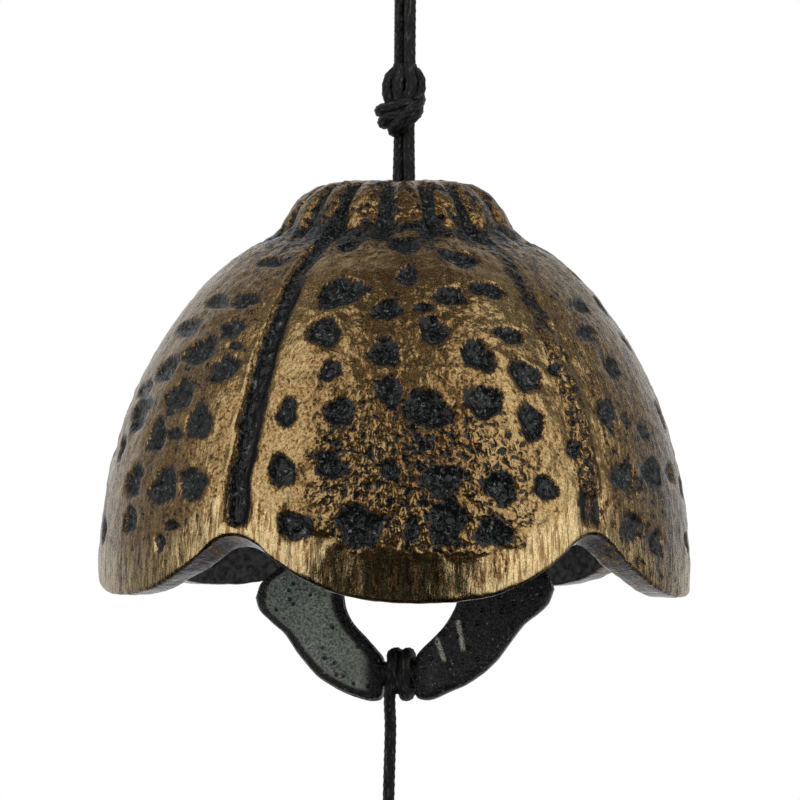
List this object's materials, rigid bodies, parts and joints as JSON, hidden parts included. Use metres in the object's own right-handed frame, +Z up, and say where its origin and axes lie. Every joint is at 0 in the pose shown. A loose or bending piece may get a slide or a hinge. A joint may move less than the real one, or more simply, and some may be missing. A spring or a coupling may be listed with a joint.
{
  "type": "furin wind bell",
  "caption": "Cast-iron wind bell with a petal-lobed dome, fluted crown and scalloped rim, hung on a doubled cord, with a swinging iron clapper ring and a paper wind strip.",
  "frame": {"origin": "hang point: where a hook bears inside the top of the hanging loop", "axes": "+Z up the plumb line; -Y is the front, which one petal faces; +X is to the right seen from the front"},
  "size_m": [0.08, 0.0796, 0.2298],
  "materials": {
    "iron_lacquer": "black lacquer over cast iron, dry-brushed with bronze gold on the raised parts, glossy",
    "iron_black": "black lacquer on sand-cast iron, semi-gloss",
    "cord": "black braided cord, satin",
    "paper": "plain stiff fibre paper, matte"
  },
  "bodies": {
    "hanger": {"hanging_loop": "cord", "top_knot": "cord"},
    "neck": {"neck_strand_left": "cord", "neck_strand_right": "cord"},
    "bell": {"bell_casting": "iron_lacquer", "stopper_knot": "cord"},
    "clapper_line": {"clapper_cord": "cord"},
    "clapper": {"clapper_ring": "iron_black", "upper_lashing": "cord", "lower_lashing": "cord"},
    "strip_line": {"strip_cord": "cord"},
    "strip": {"strip_knot": "cord", "strip_loop": "cord", "wind_strip": "paper"}
  },
  "joints": [
    {"name": "bell_sway", "type": "hinge", "parent": "hanger", "child": "neck", "pos_m": [0, 0, -0.0313], "axis": [0, 1, 0], "range_deg": [-25, 25]},
    {"name": "bell_tilt", "type": "hinge", "parent": "neck", "child": "bell", "pos_m": [0, 0, -0.0474], "axis": [1, 0, 0], "range_deg": [-10, 10]},
    {"name": "clapper_swing", "type": "hinge", "parent": "bell", "child": "clapper_line", "pos_m": [0, 0, -0.052], "axis": [0.2756, 0.9613, 0], "range_deg": [-19.6, 21.4]},
    {"name": "clapper_turn", "type": "hinge", "parent": "clapper_line", "child": "clapper", "pos_m": [0, 0, -0.081], "axis": [0, 0, 1], "range_deg": [-90, 90]},
    {"name": "strip_swing", "type": "hinge", "parent": "clapper", "child": "strip_line", "pos_m": [-0.00154, 0.00044, -0.1098], "axis": [0.9613, -0.2756, 0], "range_deg": [-50, 50]},
    {"name": "strip_turn", "type": "hinge", "parent": "strip_line", "child": "strip", "pos_m": [-0.00154, 0.00044, -0.1407], "axis": [0, 0, 1], "continuous": true}
  ]
}
